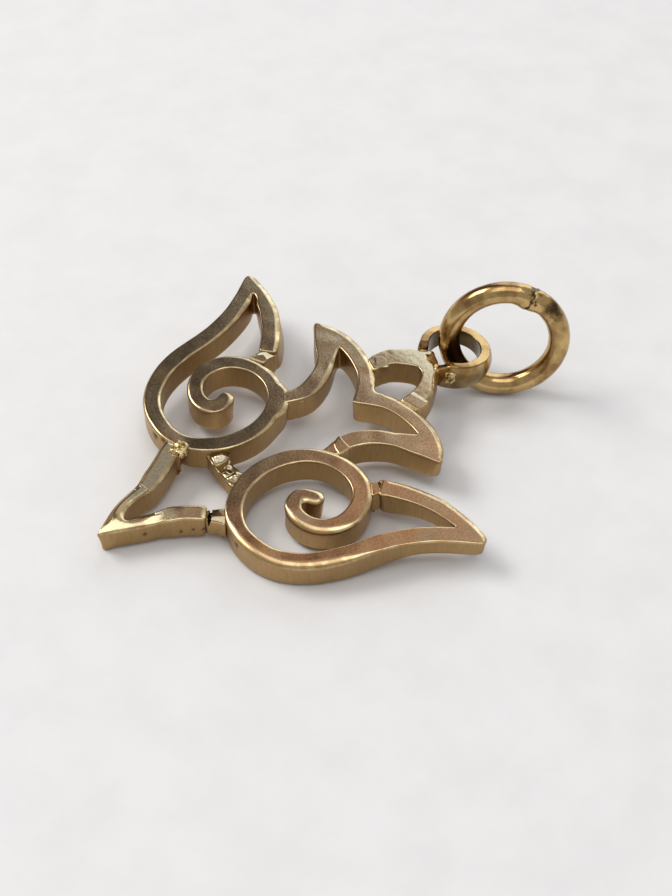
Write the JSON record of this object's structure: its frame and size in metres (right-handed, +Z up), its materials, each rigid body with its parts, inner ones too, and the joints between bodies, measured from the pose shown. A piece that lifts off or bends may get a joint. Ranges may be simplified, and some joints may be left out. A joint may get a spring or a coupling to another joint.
{
  "type": "dove charm",
  "caption": "Small openwork dove charm of soldered brass strip with coiled wings, notched feathers, a chevron tail and a bail band that carries a loose jump ring.",
  "frame": {"origin": "on the surface that the charm lies on, under the middle of its box", "axes": "+X from the tail to the head, +Y to the left wing, +Z up from the surface that the charm lies on"},
  "size_m": [0.0238, 0.019, 0.0062],
  "materials": {
    "brass_strip": "brushed tops, cast walls, polished edges",
    "polished_brass": "polished wire and band",
    "solder": "pale granular solder",
    "scorched_solder": "dark oxidised solder"
  },
  "bodies": {
    "charm": {"left_wing": "brass_strip", "right_wing": "brass_strip", "body_feathers": "brass_strip", "tail_chevron": "brass_strip", "left_tail_bar": "brass_strip", "right_tail_bar": "brass_strip", "cross_bridge": "brass_strip", "head_arch": "brass_strip", "bail_band": "polished_brass", "left_leg_solder": "solder", "right_leg_solder": "solder", "left_feather_solder": "solder", "right_feather_solder": "solder", "left_tail_solder": "solder", "right_tail_solder": "solder", "left_bridge_solder": "solder", "right_bridge_solder": "solder", "left_head_solder": "solder", "right_head_solder": "solder", "left_bail_solder": "solder", "right_bail_solder": "solder"},
    "ring": {"jump_ring": "polished_brass", "jump_ring_seam": "scorched_solder"}
  },
  "joints": [
    {"name": "ring_swing", "type": "hinge", "parent": "charm", "child": "ring", "pos_m": [0.00735, 0.00009, 0.00188], "axis": [-0.0586, -0.0577, 0.9966], "range_deg": [-70, 150]}
  ]
}
